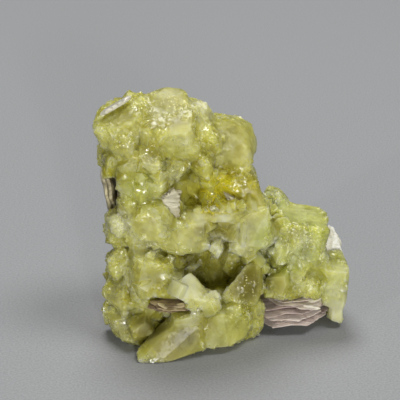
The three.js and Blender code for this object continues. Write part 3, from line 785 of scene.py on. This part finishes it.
def sheetMesh(points, faces, tones, outline, half, upward, spec, level):
    # adds one closed sheet to the lists, from its outline in its own plane
    start = len(points)
    middle = sum(outline, Vector()) / len(outline)
    rings = spec["rings"]
    angle, pitch, high = spec.get("ridges", (0, 1, 0))
    flat = (outline[0] - middle).normalized()
    along = math.cos(math.radians(angle)) * flat + math.sin(math.radians(angle)) * upward.cross(flat)
    wide, waveHigh = spec["wave"]
    for side in (1, -1):
        for ring in range(rings):
            share = 1 - ring / rings
            thin = thinEdge if ring == 0 else 1
            for corner in outline:
                place = middle + (corner - middle) * share
                swell = noise.noise(place / (wide * mm)) * waveHigh * mm
                line = place.dot(along) / (pitch * mm)
                uneven = 1 + noise.noise(Vector((math.floor(line), level, 0)))
                ridge = (abs(line % 1 - 0.5) - 0.25) * high * mm * uneven
                points.append(insideBox(place + upward * (swell + ridge + side * half * thin)))
        points.append(insideBox(middle + upward * (side * half)))
    tones += [level] * (len(points) - start)
    count = len(outline)
    other = start + rings * count + 1
    for base, flip in ((start, False), (other, True)):
        for ring in range(rings):
            outer = base + ring * count
            inner = outer + count
            for i in range(count):
                j = (i + 1) % count
                last = [inner] if ring == rings - 1 else [inner + j, inner + i]
                face = [outer + i, outer + j, *last]
                faces.append(face[::-1] if flip else face)
    for i in range(count):
        j = (i + 1) % count
        faces.append([start + j, start + i, other + i, other + j])


def micaPile(name, spec):
    # a pile of sheets between the lowest and the highest point of its solid, each as wide as the solid is
    node = nodes[name]
    dice = random.Random(spec["seed"])
    corners = [v.co.copy() for v in node.data.vertices]
    tree = BVHTree.FromPolygons(corners, [tuple(p.vertices) for p in node.data.polygons])
    if "turn" in spec:
        upward = Euler([math.radians(a) for a in spec["turn"]]).to_matrix() @ Vector((0, 0, 1))
    else:
        upward = Vector(spec["lies"]).normalized()
    flat = upward.orthogonal().normalized()
    low = Vector([min(c[i] for c in corners) for i in range(3)])
    high = Vector([max(c[i] for c in corners) for i in range(3)])
    middle = (low + high) / 2
    heights = [(c - middle).dot(upward) for c in corners]
    shares = [dice.uniform(0.5, 1.5) for _ in range(spec["sheets"])]
    bottom, thick = min(heights), max(heights) - min(heights)
    tops = [bottom + thick * sum(shares[:i]) / sum(shares) for i in range(len(shares) + 1)]
    points, faces, tones = [], [], []
    for number in range(spec.get("first", 0), spec["sheets"]):
        height = (tops[number] + tops[number + 1]) / 2
        pitch = tops[number + 1] - tops[number]
        centre = middle + upward * height
        outline = []
        for i in range(edgePoints):
            angle = 2 * math.pi * i / edgePoints
            way = math.cos(angle) * flat + math.sin(angle) * upward.cross(flat)
            hit = tree.ray_cast(centre, way)
            if hit[0] is None:
                break
            ring = Vector((math.cos(angle), math.sin(angle)))
            rough, fray, back = (
                noise.noise(Vector((*(ring * often), number * step + spec["seed"])))
                for often, step in ((4, 3.1), (14, 5.3), (1, 1.7))
            )
            share = 1 - spec["ragged"] * (abs(rough) + 0.4 * abs(fray)) - spec["setBack"] * max(0, back)
            outline.append(centre + way * (hit[3] + spec["grow"] * mm) * share)
        if len(outline) == edgePoints:
            sheetMesh(points, faces, tones, outline, pitch * spec["fill"] / 2, upward, spec, dice.random())
    for _ in range(spec.get("chips", 0)):
        # small flakes lodged along the front edge of the top sheets
        aside = dice.uniform(-0.95, 0.95) * (0.5 * (high.x - low.x))
        rise = dice.uniform(0.35, 0.6) * max(heights) * 1.6
        hit = tree.ray_cast(middle + Vector((aside, -20 * mm, rise)), Vector((0, 1, 0)))
        if hit[0] is None:
            continue
        wide, deep = dice.uniform(1, 2.4) * mm, dice.uniform(0.3, 0.6) * mm
        tilt = (upward + Vector((dice.uniform(-0.4, 0.4), dice.uniform(-0.5, 0.1), 0))).normalized()
        side = tilt.cross(Vector((0, 1, 0))).normalized()
        outline = [
            hit[0] + side * wide * math.cos(a) * dice.uniform(0.8, 1) + tilt.cross(side) * deep * math.sin(a)
            for a in (2 * math.pi * i / chipPoints for i in range(chipPoints))
        ]
        half = dice.uniform(0.08, 0.2) * mm
        sheetMesh(points, faces, tones, outline, half, tilt, {**spec, "rings": 3}, chipTone)
    mesh = meshFrom(name + "_sheets", points, faces)
    mesh.attributes.new("sheetTone", "FLOAT", "POINT").data.foreach_set("value", tones)
    mesh.shade_smooth()
    mesh.set_sharp_from_angle(angle=math.radians(30))
    return newObject(name + "_sheets", mesh)


# how each kind of mica looks: its common name, its sheets' colours from dark to light, its chips' colour,
# its roughness, and how strongly it is mottled and streaked
micaFinishes = {
    "lilac": {
        "name": "lepidolite mica, split", "chip": "#ece2cc",
        "stops": ["#95837c", "#baa9a0", "#d0c2b6", "#e4d8ca"],
        "rough": 0.42, "mottle": 0.7, "streak": 0.7,
    },
    "stained": {
        "name": "lepidolite mica, iron-stained", "chip": "#c8b88e",
        "stops": ["#4d3b35", "#76614d", "#93805f", "#ae9c76"],
        "rough": 0.5, "mottle": 0.9, "streak": 0.8,
    },
    "brown": {
        "name": "iron-stained mica, weathered", "chip": "#dcd3b2",
        "stops": ["#7a6f52", "#a59b78", "#bdb38b", "#d1c8a2"],
        "rough": 0.6, "mottle": 1.7, "streak": 0.4,
    },
    "white": {
        "name": "muscovite mica, split", "chip": "#f9f8f0",
        "stops": ["#9a9684", "#c6c2ae", "#dfdccb", "#f4f2e8"],
        "rough": 0.34, "mottle": 0.6, "streak": 0.8,
    },
    "cream": {
        "name": "muscovite mica, dulled", "chip": "#cec8a8",
        "stops": ["#635c40", "#8a825e", "#a29a76", "#bfb896"],
        "rough": 0.5, "mottle": 0.6, "streak": 1.0,
    },
}
toneWeight = 0.45  # how much a sheet's own tone counts, beside mottle and streak


def micaMaterial(kind):
    # Mica, split along its sheets: each sheet has its own tone, streaks one way and a pearly sheen
    finish = micaFinishes[kind]
    material, tree = newMaterial(finish["name"])
    where = addNode(tree, "ShaderNodeTexCoord").outputs["Object"]
    added = {"operation": "MULTIPLY_ADD"}
    own = addNode(tree, "ShaderNodeAttribute", attribute_name="sheetTone").outputs["Fac"]
    cloud = addNode(tree, "ShaderNodeTexNoise", {
        "Vector": where,
        "Scale": across(1.6),
        "Detail": 5,
        "Roughness": 0.65,
    })
    tone = addNode(tree, "ShaderNodeMath", {0: own, 1: toneWeight}, operation="MULTIPLY")
    tone = addNode(tree, "ShaderNodeMath", {0: cloud, 1: finish["mottle"], 2: tone}, **added)
    streaky = addNode(tree, "ShaderNodeMapping", {
        "Vector": where,
        "Rotation": (0, 0.7, 0),
        "Scale": (0.14, 1, 1),
    })
    streak = addNode(tree, "ShaderNodeTexNoise", {"Vector": streaky, "Scale": across(0.34), "Detail": 3})
    tone = addNode(tree, "ShaderNodeMath", {0: streak, 1: finish["streak"], 2: tone}, **added)
    middle = 0.5 * (toneWeight + finish["mottle"] + finish["streak"]) - 0.53
    tone = addNode(tree, "ShaderNodeMath", {0: tone, 1: middle}, operation="SUBTRACT")
    stops = list(zip((0.2, 0.4, 0.62, 0.85), finish["stops"])) + [(1.0, finish["chip"])]
    body = addNode(tree, "ShaderNodeValToRGB", {"Fac": tone}, stops)
    fine = addNode(tree, "ShaderNodeTexNoise", {"Vector": where, "Scale": across(0.3), "Detail": 4})
    bump = addNode(tree, "ShaderNodeBump", {"Height": streak, "Strength": 0.6, "Distance": 0.0002})
    bump = addNode(tree, "ShaderNodeBump", {
        "Height": fine,
        "Strength": 0.3,
        "Distance": 0.00008,
        "Normal": bump,
    })
    skin = addNode(tree, "ShaderNodeBsdfPrincipled", {
        "Base Color": body,
        "Roughness": finish["rough"],
        "IOR": 1.57,
        "Subsurface Weight": 0.3,
        "Subsurface Radius": (0.0006, 0.0005, 0.0004),
        "Subsurface Scale": 1.0,
        "Coat Weight": 0.3,
        "Coat Roughness": 0.25,
        "Normal": bump,
    })
    addNode(tree, "ShaderNodeOutputMaterial", {"Surface": skin})
    return material


micaLooks = {kind: micaMaterial(kind) for kind in micaFinishes}
for name, spec in micas.items():
    pile = micaPile(name, spec)
    pile.data.materials.append(micaLooks[spec["finish"]])
    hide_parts(name)
    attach(pile, "root")
    print(name, "triangles", sum(len(p.vertices) - 2 for p in pile.data.polygons))


# The studio: two soft lights from above, a low one in front, and two small ones for glints
studio = {
    "target": (-4.344, -1.087, 26.1),  # mm, what the camera looks at
    "distance": 260,  # mm
    "elevation": 22,  # degrees
    "lens": 127.2,  # mm
    "lights": [  # where it is in mm, how wide in mm, and watts
        ("backLeft", (-130, 430, 1000), 500, 8.0),
        ("frontRight", (440, -180, 1000), 450, 4.5),
        ("lowFront", (150, -1000, 100), 220, 5.3),
        ("sparkFront", (120, -700, 200), 36, 1.0),
        ("sparkLeft", (-420, -500, 200), 30, 0.7),
    ],
    "world": ("#d2d0c9", 0.1),  # the light from all round and its strength
    "floorReach": 3000,  # mm
}


def makeFloor():
    reach = studio["floorReach"] * mm
    corners = [(-reach, -reach, 0), (reach, -reach, 0), (reach, reach, 0), (-reach, reach, 0)]
    floor = newObject("floor", meshFrom("floor", corners, [(0, 1, 2, 3)]))
    # grey paper, matt: no sheen, so that only soft shadows show on it
    material, tree = newMaterial("grey paper, matt")
    where = addNode(tree, "ShaderNodeTexCoord").outputs["Object"]
    grain = addNode(tree, "ShaderNodeTexNoise", {"Vector": where, "Scale": across(0.4), "Detail": 3})
    colour = addNode(tree, "ShaderNodeValToRGB", {"Fac": grain}, [(0.3, "#8e8f90"), (0.7, "#9fa1a3")])
    bump = addNode(tree, "ShaderNodeBump", {"Height": grain, "Strength": 0.25, "Distance": 0.0001})
    skin = addNode(tree, "ShaderNodeBsdfPrincipled", {
        "Base Color": colour,
        "Roughness": 0.85,
        "Normal": bump,
    })
    addNode(tree, "ShaderNodeOutputMaterial", {"Surface": skin})
    floor.data.materials.append(material)


def makeLights():
    for name, at, wide, power in studio["lights"]:
        light = bpy.data.lights.new(name, "AREA")
        light.shape = "DISK"
        light.size = wide * mm
        light.energy = power
        lamp = newObject(name, light)
        lamp.location = Vector(at) * mm
        aim = Vector(studio["target"]) * mm - lamp.location
        lamp.rotation_euler = aim.to_track_quat("-Z", "Y").to_euler()
    world = bpy.data.worlds.new("studio")
    bpy.context.scene.world = world
    world.use_nodes = True
    colour, strength = studio["world"]
    sky = world.node_tree.nodes["Background"]
    sky.inputs["Color"].default_value = linear(colour)
    sky.inputs["Strength"].default_value = strength


def makeCamera():
    camera = newObject("camera", bpy.data.cameras.new("camera"))
    camera.data.lens = studio["lens"]
    camera.data.clip_start = 0.01
    lift = math.radians(studio["elevation"])
    back = Vector((0, -math.cos(lift), math.sin(lift)))
    camera.location = (Vector(studio["target"]) + back * studio["distance"]) * mm
    camera.rotation_euler = (-back).to_track_quat("-Z", "Y").to_euler()
    bpy.context.scene.camera = camera


makeFloor()
makeLights()
makeCamera()
bpy.context.scene.view_settings.view_transform = "Standard"
print("studio done")
